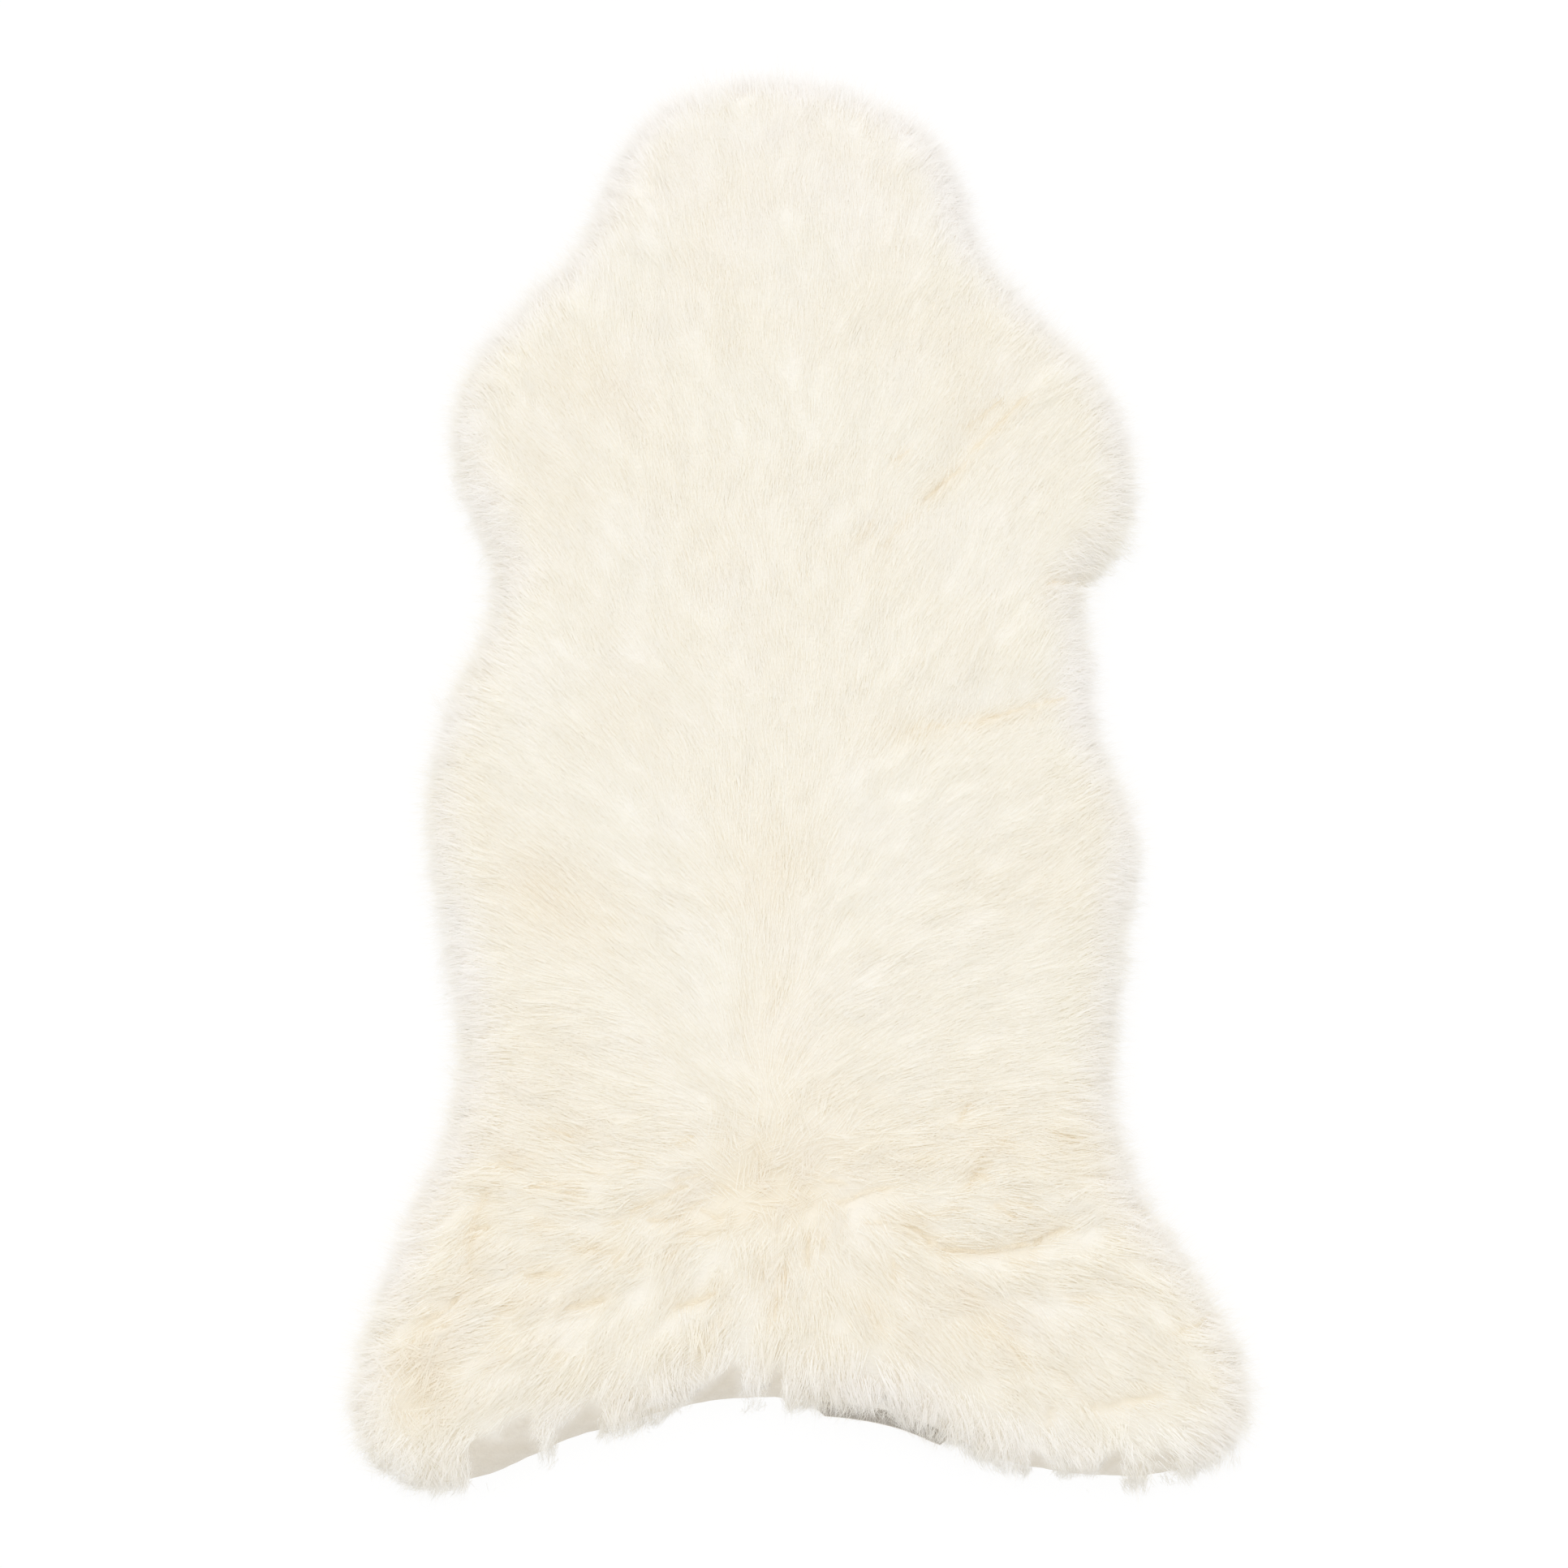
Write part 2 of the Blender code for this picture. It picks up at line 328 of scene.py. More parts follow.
class Outline:
    """The closed outline of the wool from above, with distances from it."""

    def __init__(self, ring):
        self.points = resample(ring, 1 * MM)
        self.tree = tree_of(np.column_stack([self.points, np.zeros(len(self.points))]))
        along = unit(np.roll(self.points, -1, axis=0) - np.roll(self.points, 1, axis=0))
        outwards = np.stack([along[:, 1], -along[:, 0]], axis=1)
        self.outwards = outwards * np.sign(ring_area(self.points))

    def nearest(self, points):
        """For each place: how far inside the outline it lies, and the way straight out of it."""
        depth = np.empty(len(points))
        ways = np.empty((len(points), 2))
        for i, (x, y) in enumerate(points[:, :2]):
            _, index, distance = self.tree.find((x, y, 0))
            outwards = self.outwards[index]
            inside = np.dot(self.points[index] - (x, y), outwards) >= 0
            depth[i] = distance if inside else -distance
            ways[i] = outwards
        return depth, ways

    def inset(self, depths, step):
        """The outline moved inwards by a depth for each point, without the points that come too near it."""
        ring = self.points - self.outwards * depths[:, None]
        kept = [p for p, depth in zip(ring, depths) if self.tree.find((*p, 0))[2] > 0.97 * depth]
        return resample(np.array(kept), step)


def ends_of(line):
    """Where a line starts and ends, in metres."""
    return np.array([line.x0, line.y0]) * MM, np.array([line.x1, line.y1]) * MM


def from_line(x, y, line):
    """Distance from a line, with a sign for the side of it, and the way straight across the line."""
    start, end = ends_of(line)
    span = np.linalg.norm(end - start)
    along = (end - start) / span
    run = np.clip((x - start[0]) * along[0] + (y - start[1]) * along[1], 0, span)
    off_x, off_y = x - start[0] - run * along[0], y - start[1] - run * along[1]
    side = np.sign(off_y * along[0] - off_x * along[1])
    return side * np.hypot(off_x, off_y), (-along[1], along[0])


def near_lines(x, y, lines, reach):
    """How near a place is to any of the lines, up to a line's strength on it. The reach is in widths."""
    nearness = np.zeros(len(x))
    for line in lines:
        distance, _ = from_line(x, y, line)
        nearness = np.maximum(nearness, line.strength * bell(distance, line.width * MM * reach))
    return nearness


def hollowed(x, y):
    """How near a place is to a hollow or its way forward to the edge, from 0 to each hollow's strength."""
    return np.maximum.reduce([near_lines(x, y + before, HOLLOWS, 1.0) for before in HOLLOW_REACH])


def brushed(x, y):
    """The way the wool is brushed at a place, seen from above."""
    east, north = x - CROWN[0], y - CROWN[1]
    fan = 0.7 + 1.7 * smooth_step(north, -20 * MM, 60 * MM)
    way = unit(np.stack([east * fan, north], axis=-1))
    whorl = np.stack([x - WHORL[0], y - WHORL[1]], axis=-1)
    pull = 0.5 * bell(np.linalg.norm(whorl, axis=-1), 38 * MM)[:, None]
    way = way * (1 - pull) + unit(whorl) * pull
    for parting in PARTINGS:
        distance, across = from_line(x, y, parting)
        push = parting.strength * bell(distance, parting.width * MM)
        way = way + 0.4 * (push * np.sign(distance))[:, None] * np.array(across)
    turn = np.radians(16) * soft_noise(x, y, 75 * MM, 11) + np.radians(9) * soft_noise(x, y, 26 * MM, 12)
    turn = turn + np.radians(100) * swirling(x, y) * soft_noise(x, y, 17 * MM, 13)
    return unit(turned(way, turn))


def swirling(x, y):
    """How near a place is to the crown or the whorl, where the wool lies all ways, from 0 to 1."""
    near_crown = bell(np.hypot((x - CROWN[0]) / 1.6, y - CROWN[1]), 28 * MM)
    near_whorl = bell(np.hypot(x - WHORL[0], y - WHORL[1]), 24 * MM)
    return np.maximum(near_crown, near_whorl)


def strewn_openings():
    """Short weak partings along the way the wool lies, all over the haunches."""
    rng = np.random.default_rng(77)
    x = rng.uniform(-230, 230, OPENINGS) * MM
    y = rng.uniform(OPENINGS_LOW, OPENINGS_HIGH, OPENINGS)
    way = turned(brushed(x, y), rng.normal(0, 0.25, OPENINGS))
    half = rng.uniform(3, 9, OPENINGS)[:, None]
    middle = np.stack([x, y], axis=1) / MM
    ends = np.hstack([middle - way * half, middle + way * half])
    strengths = rng.uniform(0.25, 0.75, OPENINGS)
    return [Line("opening", *places, 5, strength) for places, strength in zip(ends, strengths)]


def warmth_at(x, y, partings):
    """How yellow the wool is at a place, from 0 to 1."""
    warmth = 0.10 + 0.16 * soft_noise(x, y, 60 * MM, 21) + 0.28 * smooth_step(-y, 150 * MM, 330 * MM)
    for pool in POOLS:
        turn = math.radians(pool.bearing)
        east, north = x - pool.x * MM, y - pool.y * MM
        along = (east * math.cos(turn) + north * math.sin(turn)) / (pool.half_length * MM)
        across = (north * math.cos(turn) - east * math.sin(turn)) / (pool.half_width * MM)
        warmth = warmth + pool.strength * np.exp(-along**2 - across**2)
    for parting in partings:
        distance, _ = from_line(x, y, parting)
        warmth = warmth + 0.9 * parting.strength * bell(distance, 0.8 * parting.width * MM)
    return np.clip(warmth, 0, 1)


def pallor_at(places, fields):
    """How pale the wool is, from 0 to 1: paler at the upper edges, which is partly painted light that lifts
    their shade, at the neck and in soft patches.
    """
    x, y, z = places.T
    # partly painted light: the edges are paler higher up, and less so between the hind legs
    rim = rim_at(fields.depth.at(places)) * (0.4 + 0.6 * smooth_step(z, 5 * MM, 45 * MM))
    rim = rim * (1 - 0.2 * fields.fringe.at(places))
    patches = 0.22 * soft_noise(x, y, 38 * MM, 51) + 0.10 * soft_noise(x, y, 17 * MM, 52)
    return np.clip(rim + 0.45 * smooth_step(y, 230 * MM, 500 * MM) + patches, 0, 1)


class Field:
    """Values worked out once on a grid over the rug, and read off at any place."""

    def __init__(self, step, work_out):
        self.step = step
        self.low = np.array(cad_box[0][:2]) - FIELD_MARGIN
        self.shape = np.ceil((np.array(cad_box[1][:2]) + FIELD_MARGIN - self.low) / step).astype(int) + 1
        columns, rows = (self.low[axis] + step * np.arange(self.shape[axis]) for axis in (0, 1))
        x, y = np.meshgrid(columns, rows, indexing="ij")
        self.values = work_out(x.ravel(), y.ravel()).reshape(x.shape)

    def at(self, places):
        """The value at each place, read off between the points of the grid."""
        grid = np.clip((places[:, :2] - self.low) / self.step, 0, self.shape - 1.001)
        ix, iy = grid.astype(int).T
        return blended(self.values, ix, iy, *(grid - grid.astype(int)).T)


Fields = namedtuple("Fields", "depth fringe warmth openness hollow height")


def fringed(y, outwards):
    """How far a place belongs to the fringe of locks that hangs between the hind legs, from 0 to 1."""
    return smooth_step(-y, 400 * MM, 440 * MM) * smooth_step(-outwards[:, 1], 0.4, 0.8)


def fields_over(outline, partings):
    """The grids of all that changes from place to place. The height is added once there is a fleece."""
    return Fields(
        Field(3 * MM, lambda x, y: outline.nearest(np.stack([x, y], axis=1))[0]),
        Field(3 * MM, lambda x, y: fringed(y, outline.nearest(np.stack([x, y], axis=1))[1])),
        Field(2 * MM, lambda x, y: warmth_at(x, y, partings)),
        Field(1 * MM, lambda x, y: near_lines(x, y, partings, OPENING_REACH)),
        Field(2 * MM, hollowed),
        None,
    )


def height_field(mesh):
    """The height of the fleece over the floor."""
    corners = [vertex.co for vertex in mesh.vertices]
    tree = BVHTree.FromPolygons(corners, [face.vertices for face in mesh.polygons])

    def heights(x, y):
        hits = (tree.ray_cast(Vector((east, north, 1)), Vector((0, 0, -1)))[0] for east, north in zip(x, y))
        return np.array([hit.z if hit else 0.0 for hit in hits])

    return Field(3 * MM, heights)


def shaggy(y):
    """How far the wool draws together into pointed locks: a little on the back, most on the haunches."""
    return 0.30 + 0.55 * smooth_step(-y, 230 * MM, 380 * MM)


def new_object(name, data):
    """A new object in the scene."""
    made = bpy.data.objects.new(name, data)
    bpy.context.scene.collection.objects.link(made)
    return made


def new_piece(name, mesh, material):
    """A piece that rides on the rug's one body and takes the place of the solid."""
    mesh.materials.append(material)
    piece = new_object(name, mesh)
    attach(piece, "root")
    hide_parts("sheepskin")
    return piece


def fleece_mesh(solid, outline, fields):
    """The solid, drawn in so that the strands have room to fill it, and broken into soft clumps."""
    copy = new_object("solid", solid)
    rounder = copy.modifiers.new("rounder", "SUBSURF")
    rounder.levels = rounder.render_levels = 1
    bpy.context.view_layer.update()
    evaluated = copy.evaluated_get(bpy.context.evaluated_depsgraph_get())
    mesh = bpy.data.meshes.new_from_object(evaluated)
    bpy.data.objects.remove(copy)
    mesh.materials.clear()
    points, normals = vectors_of(mesh, "co"), vectors_of(mesh, "normal")
    upright = np.clip(normals[:, 2], 0, 1)
    depth, outwards = outline.nearest(points)
    sides = FLEECE_INSET_SIDE * (1 - smooth_step(depth, 0, SIDE_INSET_FADE))
    inwards = sides + HOLLOW_DEPTH * fields.hollow.at(points)
    clumps = soft_noise(*points[:, :2].T, 22 * MM, 31) + 0.7 * soft_noise(*points[:, :2].T, 11 * MM, 32)
    downwards = FLEECE_INSET_TOP + CLUMP_HEIGHT * clumps + OPENING_DEPTH * fields.openness.at(points)
    points = points - np.column_stack([outwards * inwards[:, None], downwards * upright])
    over_hide = smooth_step(depth, HIDE_INSET - 16 * MM, HIDE_INSET - 5 * MM)
    points[:, 2] = np.maximum(points[:, 2], FLEECE_GAP + (HIDE_THICKNESS - FLEECE_GAP) * over_hide)
    mesh.vertices.foreach_set("co", points.ravel())
    mesh.update()
    warmth, hollow = fields.warmth.at(points), fields.hollow.at(points)
    # the hollow mask paints shade into the fleece, and the pallor is partly painted light on its sides
    add_values(mesh, pallor=pallor_at(points, fields), warmth=warmth, hollow=hollow)
    return mesh


def vectors_of(mesh, name):
    """The places or the normals of a mesh's points, as rows."""
    flat = np.empty(len(mesh.vertices) * 3)
    mesh.vertices.foreach_get(name, flat)
    return flat.reshape(-1, 3)


def rim_at(depth):
    """How near the outline a place is, from 0 well inside to 1 at the edge."""
    return 1 - smooth_step(depth, 2 * MM, 42 * MM)


def add_values(mesh, **values):
    """Values for each point of a mesh, which its material reads by their names."""
    for name, numbers in values.items():
        layer = mesh.attributes.new(name, "FLOAT", "POINT")
        layer.data.foreach_set("value", numbers.astype(np.float32).ravel())


def curve_number(places):
    """A number for each place, close for places close together, so that picks by number spread evenly."""
    cells = ((places - places.min(axis=0)) / MM).astype(int)
    number = np.zeros(len(places), int)
    for bit in range(11):  # enough for 2 m in steps of a millimetre
        for axis in (0, 1):
            number |= ((cells[:, axis] >> bit) & 1) << (2 * bit + axis)
    return number


def picked(places, weight, count, rng):
    """Picks of the places by their weight, spread evenly over the ground."""
    order = np.argsort(curve_number(places))
    total = np.cumsum(weight[order]) / weight.sum()
    picks = np.searchsorted(total, (np.arange(count) + rng.random(count)) / count)
    return order[np.minimum(picks, len(total) - 1)]


def scattered(mesh, count, rng, liking=None):
    """Points and their normals, spread over the faces that don't look down, most closely on steep ones."""
    mesh.calc_loop_triangles()
    triangles = np.empty(len(mesh.loop_triangles) * 3, np.int32)
    mesh.loop_triangles.foreach_get("vertices", triangles)
    triangles = triangles.reshape(-1, 3)
    points, normals = vectors_of(mesh, "co"), vectors_of(mesh, "normal")
    a, b, c = (points[triangles[:, i]] for i in range(3))
    middle = (a + b + c) / 3
    cross = np.cross(b - a, c - a)
    area = np.linalg.norm(cross, axis=1) / 2
    facing = cross[:, 2] / (2 * area + 1e-12)
    weight = area * (facing > -0.55) * (1 + 1.3 * (1 - np.clip(facing, 0, 1)))
    if liking is not None:
        weight = weight * liking(middle)
    a, b, c = triangles[picked(middle[:, :2], weight, count, rng)].T
    u, v = rng.random(count), rng.random(count)
    flip = u + v > 1
    u[flip], v[flip] = 1 - u[flip], 1 - v[flip]
    u, v = u[:, None], v[:, None]
    spots = points[a] * (1 - u - v) + points[b] * u + points[c] * v
    return spots, unit(normals[a] * (1 - u - v) + normals[b] * u + normals[c] * v)


def growing(roots, normals, heading, length, lift, droop):
    """Paths that leave the fleece slantwise and then lie down along the heading, their tips drawn down."""
    paths = [roots]
    for step in range(GUIDE_STEPS):
        share = step / (GUIDE_STEPS - 1)
        rise = (lift * (1 - share) ** 1.3)[:, None]
        way = heading + normals * rise
        way[:, 2] -= droop * (0.35 + share)
        paths.append(paths[-1] + unit(way) * (length / GUIDE_STEPS)[:, None])
    return np.stack(paths, axis=1)


def turned(ways, angles):
    """Ways seen from above, each turned by its own angle."""
    cos, sin = np.cos(angles), np.sin(angles)
    return np.stack([ways[:, 0] * cos - ways[:, 1] * sin, ways[:, 0] * sin + ways[:, 1] * cos], axis=-1)


def headings(points, normals, outline, turn):
    """The way the wool lies at each place, turned by an angle, its depth in the outline and the way out."""
    depth, outwards = outline.nearest(points)
    way = brushed(points[:, 0], points[:, 1])
    edge = (1 - smooth_step(depth, 8 * MM, 48 * MM))[:, None]
    way = unit(way * (1 - 0.75 * edge) + outwards * 0.75 * edge)
    hang = -0.6 * (1 - np.clip(normals[:, 2], 0, 1))
    way = np.column_stack([turned(way, turn), hang])
    way -= normals * np.sum(way * normals, axis=1)[:, None]
    return unit(way), depth, outwards


class Tufts:
    """Groups of locks that lie one way and draw together towards their tips."""

    def __init__(self, mesh, outline, rng):
        self.roots, normals = scattered(mesh, TUFTS, rng)
        shag = shaggy(self.roots[:, 1])
        swirl = swirling(self.roots[:, 0], self.roots[:, 1])
        self.turn = rng.normal(0, 1, TUFTS) * np.radians(6 + 8 * shag + 50 * swirl)
        self.lift = rng.uniform(0.01, 0.03, TUFTS) + rng.uniform(0, 0.06, TUFTS) * (shag - 0.25)
        heading = headings(self.roots, normals, outline, self.turn)[0]
        self.heading, self.side = heading, unit(np.cross(heading, normals))
        self.tree = tree_of(self.roots)

    def nearest(self, places):
        """The number of the tuft whose root is nearest to each place."""
        return np.array([self.tree.find(place)[1] for place in places])


def off_the_floor(places):
    """How readily a lock grows at each place: hardly at all close to the floor."""
    return smooth_step(places[:, 2], 2 * MM, 12 * MM) + 0.02


class Locks:
    """The guides of the wool: a curved path for each lock, with its girth, normal and sideways way."""

    def __init__(self, mesh, outline, fields, rng):
        tufts = Tufts(mesh, outline, rng)
        roots, self.normals = scattered(mesh, LOCKS, rng, off_the_floor)
        tuft = tufts.nearest(roots)
        from_tuft = roots - tufts.roots[tuft]
        self.shag = shaggy(roots[:, 1])
        swirl = swirling(roots[:, 0], roots[:, 1])
        turn = tufts.turn[tuft] + rng.normal(0, 1, LOCKS) * np.radians(6 + 70 * swirl)
        heading, depth, outwards = headings(roots, self.normals, outline, turn)
        self.rim = rim_at(depth)
        lift = tufts.lift[tuft] + rng.uniform(0, 0.03, LOCKS) + 0.06 * swirl + 0.30 * self.rim
        fringe = fields.fringe.at(roots)
        from_edge = np.where(fringe > 0.5, rng.normal(*FRINGE_ENDS, LOCKS), rng.normal(*EDGE_ENDS, LOCKS))
        onward = np.clip(np.sum(heading[:, :2] * outwards, axis=1), 0.2, 1)
        room = np.maximum(depth - from_edge, 5 * MM) / onward
        fringe = fringe * self.rim
        gathering = 0.9 * (self.shag - 0.25) * (1 - self.rim) + 0.55 * fringe
        ahead = np.sum(from_tuft * tufts.heading[tuft], axis=1)
        length = rng.uniform(*LOCK_LENGTH, LOCKS) * MM * (1 - 0.4 * swirl) - ahead * gathering
        self.length = np.minimum(length, room)
        droop = 0.35 * (1 - smooth_step(depth, 4 * MM, 30 * MM))
        self.girth = rng.uniform(*LOCK_GIRTH, LOCKS) * MM
        self.side = unit(np.cross(heading, self.normals))
        self.paths = growing(roots, self.normals, heading, self.length, lift, droop)
        self.beside = np.sum(from_tuft * tufts.side[tuft], axis=1)
        draw = -tufts.side[tuft] * (self.beside * gathering)[:, None]
        self.paths += draw[:, None] * (np.linspace(0, 1, GUIDE_STEPS + 1) ** 1.4)[None, :, None]
        self.narrowing = 0.9 * (self.shag - 0.2) * (1 - 0.8 * self.rim * (1 - fringe))
        self.thickness = (0.4 + 0.6 * self.shag + 2.0 * self.rim) * MM

    def places(self, owner, share, across, above):
        """Points beside the paths of the locks named by owner, at a share of their length."""
        at = np.clip(share, 0, 1) * GUIDE_STEPS
        low = np.minimum(at.astype(int), GUIDE_STEPS - 1)
        part = (at - low)[:, None]
        middle = self.paths[owner, low] * (1 - part) + self.paths[owner, low + 1] * part
        narrow = self.girth[owner] * (1 - self.narrowing[owner] * np.clip(share, 0, 1) ** 1.4)
        return (middle + self.side[owner] * (across * narrow)[:, None]
                + self.normals[owner] * (above * self.thickness[owner])[:, None])


def strand_paths(locks, owner, length, points, fields, rng):
    """Strands that run along their locks and over the fleece, where along the lock each starts, and how far
    beside its middle.
    """
    count = len(owner)
    lock_length = locks.length[owner]
    across, above = rng.normal(0, 0.55, count), rng.normal(0, 0.35, count)
    pointed = (locks.shag[owner] - 0.25) * (1 - 0.8 * locks.rim[owner])
    latest = np.maximum(1 - 0.7 * length / lock_length, 0.05)
    start = rng.random(count) ** (1 / (1 + 3 * pointed)) * latest
    stray = rng.normal(0, 0.08, (count, 3))
    clearance = (rng.uniform(0.3, 2.2, count) + 2.2 * pointed * start) * MM
    onward = unit(locks.paths[owner, -1] - locks.paths[owner, -2])
    path = []
    for share in np.linspace(0, 1, points):
        run = start + share * length / lock_length
        over = np.maximum(run - 1, 0) * lock_length
        place = locks.places(owner, run, across, above)
        place = place + onward * over[:, None] + stray * (share * length)[:, None]
        place[:, 2] = np.maximum(place[:, 2], fields.height.at(place) + clearance * (0.3 + 0.7 * share))
        path.append(place)
    path = np.stack(path, axis=1)
    path[..., 2] = np.maximum(path[..., 2], STRAND_GAP)
    return path, start, across


def strand_points(paths, radii, side):
    """Three points round each point of a path but its last, a flat side uppermost, and one at the tip."""
    count, rings = len(paths), paths.shape[1] - 1
    way = unit(np.gradient(paths, axis=1))[:, :rings] if rings > 1 else unit(paths[:, 1:] - paths[:, :1])
    side = side[:, None, :] - way * np.sum(side[:, None, :] * way, axis=-1, keepdims=True)
    side = unit(side)
    up = np.cross(side, way)
    ring_points = []
    for across, above in ((-1.0, 0.3), (1.0, 0.3), (0.0, -0.6)):
        spoke = side * across + up * above
        ring_points.append(paths[:, :rings] + spoke * radii[:, :rings, None])
    body = np.stack(ring_points, axis=2).reshape(count, rings * 3, 3)
    return np.concatenate([body, paths[:, -1:]], axis=1)


def strand_template(rings):
    """The faces of one closed strand, the upper ones first, and each corner's place on the bake's map."""
    faces, places = [], []
    tip, last = rings * 3, (rings - 1) * 3
    for side in range(3):
        after = (side + 1) % 3
        for ring in range(rings - 1):
            low, high = ring * 3, ring * 3 + 3
            faces.append([low + side, low + after, high + after, high + side])
            places.append([(side, ring), (side + 1, ring), (side + 1, ring + 1), (side, ring + 1)])
        faces.append([last + side, last + after, tip])
        places.append([(side, rings - 1), (side + 1, rings - 1), (side + 0.5, rings)])
    faces.append([2, 1, 0])
    places.append([(2, -1), (1, -1), (1.5, 0)])
    places = [[((u + 0.15) / 3.3, (v + 1.15) / (rings + 1.3)) for u, v in face] for face in places]
    return faces, np.concatenate(places)


def repeated_mesh(name, points, faces):
    """A mesh of many strands that all have the same faces, from each strand's own points."""
    count, per = points.shape[:2]
    corners = np.concatenate(faces)
    index = (np.arange(count)[:, None] * per + corners[None]).ravel()
    starts = np.cumsum([0] + [len(face) for face in faces[:-1]])
    starts = (np.arange(count)[:, None] * len(corners) + starts[None]).ravel()
    mesh = bpy.data.meshes.new(name)
    mesh.vertices.add(count * per)
    mesh.vertices.foreach_set("co", points.astype(np.float32).ravel())
    mesh.loops.add(len(index))
    mesh.loops.foreach_set("vertex_index", index.astype(np.int32))
    mesh.polygons.add(len(starts))
    mesh.polygons.foreach_set("loop_start", starts.astype(np.int32))
    mesh.update(calc_edges=True)
    mesh.validate()
    return mesh


def corner_normals(points, faces, upper, skyward):
    """Normals of every face corner: the upper faces shade along the skyward way, the others as they are."""
    normals = []
    for number, face in enumerate(faces):
        first, second, third = (points[:, corner] for corner in face[:3])
        normal = skyward if number < upper else unit(np.cross(second - first, third - first))
        normals.append(np.repeat(normal[:, None], len(face), axis=1))
    return np.concatenate(normals, axis=1).reshape(-1, 3)


def strand_mesh(name, strands, taper):
    """Closed three-sided strands that taper to a point, and the number of points of each."""
    count, rings = len(strands.paths), len(taper) - 1
    points = strand_points(strands.paths, strands.width[:, None] / 2 * taper, strands.side)
    faces, places = strand_template(rings)
    mesh = repeated_mesh(name, points, faces)
    cells = math.ceil(math.sqrt(count))
    cell = np.stack([np.arange(count) % cells, np.arange(count) // cells], axis=1)
    spots = (cell[:, None] + places[None]) / cells
    layer = mesh.uv_layers.new(name="OFBake")
    layer.data.foreach_set("uv", spots.astype(np.float32).ravel())
    mesh.shade_smooth()
    mesh.normals_split_custom_set(corner_normals(points, faces, rings, strands.skyward))
    return mesh, points.shape[1]


class Shading:
    """The nodes of a new material or world, with short ways to add to them."""

    def __init__(self, owner, last):
        owner.use_nodes = True
        self.owner, self.tree = owner, owner.node_tree
        self.last = self.tree.nodes[last].inputs

    def fill(self, inputs, values):
        """Puts a number or a colour into each of the inputs, or links another node's output to it."""
        for name, value in values.items():
            if isinstance(value, (tuple, float, int)):
                inputs[name].default_value = value
            else:
                self.tree.links.new(value, inputs[name])

    def add(self, kind, output, values, **settings):
        """An output of a new node, with its settings made and its inputs filled."""
        node = self.tree.nodes.new(f"ShaderNode{kind}")
        for name, value in settings.items():
            setattr(node, name, value)
        self.fill(node.inputs, values)
        return node.outputs[output]

    def attribute(self, label):
        return self.add("Attribute", "Fac", {}, attribute_name=label)

    def mixed(self, share, a, b, kind="MIX"):
        return self.add("Mix", 2, {0: share, 6: a, 7: b}, data_type="RGBA", blend_type=kind)

    def computed(self, kind, a, b):
        return self.add("Math", 0, {0: a, 1: b}, operation=kind, use_clamp=True)

    def noise(self, scale, detail):
        """Noise from 0 to 1 that stays with the piece."""
        place = self.add("TexCoord", "Object", {})
        return self.add("TexNoise", "Fac", {"Vector": place, "Scale": scale, "Detail": detail})

    def roughened(self, grain, smoothest, roughest, bump_strength, bump_height):
        """Makes the roughness and the relief of the surface follow a grain."""
        rough = self.add("MapRange", "Result", {"Value": grain, "To Min": smoothest, "To Max": roughest})
        relief = {"Height": grain, "Strength": bump_strength, "Distance": bump_height}
        bump = self.add("Bump", "Normal", relief)
        self.fill(self.last, {"Roughness": rough, "Normal": bump})


def new_shading(name):
    """The shading of a new material."""
    return Shading(bpy.data.materials.new(name), "Principled BSDF")


def wool_material(name, look):
    """Wool, yellower, paler or darker where the mesh says so, with a fine grain and a faint sheen: the paler
    edges are partly painted light, the darker hollows of the fleece painted shade.
    """
    shading = new_shading(name)
    mixed, computed, attribute = shading.mixed, shading.computed, shading.attribute
    colour = look.tip
    if look.root:
        colour = mixed(computed("POWER", attribute("along"), 0.7), look.root, look.tip)
    colour = mixed(computed("MULTIPLY", attribute("warmth"), 0.6), colour, look.warm)
    # partly painted light: the paler edges lift the shade on the sides
    colour = mixed(computed("MULTIPLY", attribute("pallor"), 0.85), colour, look.pale)
    # painted shade in the fleece's hollows; in the seams, the yellow of the roots
    colour = mixed(attribute("hollow"), colour, look.hollow)
    grain = shading.noise(420, 3)
    shade = mixed(grain, (0.985, 0.98, 0.97, 1), (1.0, 1.0, 1.0, 1))
    colour = mixed(1.0, colour, shade, "MULTIPLY")
    sheen = {"Specular IOR Level": 0.25, "Sheen Weight": 0.25, "Sheen Roughness": 0.5}
    shading.fill(shading.last, {"Base Color": colour, **sheen})
    shading.roughened(grain, 0.78, 0.95, look.bump_strength, look.bump_height)
    return shading.owner


def suede_material():
    """Cloudy suede with a short nap, darker along its edge with painted shade."""
    shading = new_shading("suede")
    ramp = shading.tree.nodes.new("ShaderNodeValToRGB")
    for element, position, colour in zip(ramp.color_ramp.elements, (0.3, 0.7), (SUEDE_DARK, SUEDE_LIGHT)):
        element.position = position
        element.color = colour
    shading.fill(ramp.inputs, {"Fac": shading.noise(14, 3)})
    # painted shade: the suede darkens towards the hide's edge
    colour = shading.mixed(shading.attribute("cut"), ramp.outputs["Color"], SUEDE_EDGE_SHADE)
    shading.fill(shading.last, {"Base Color": colour, "Specular IOR Level": 0.2})
    shading.roughened(shading.noise(900, 4), 0.85, 1.0, 0.5, 0.3 * MM)
    return shading.owner


def hide_edge(outline):
    """The cut edge of the hide, well inside the ends of the wool but for the bare stretch."""
    bare = near_lines(*outline.points.T, [BARE_HIDE], 1.0)
    depths = HIDE_INSET + (BARE_HIDE_INSET - HIDE_INSET) * np.minimum(1.5 * bare, 1)
    return outline.inset(depths, HIDE_STEP / 2)


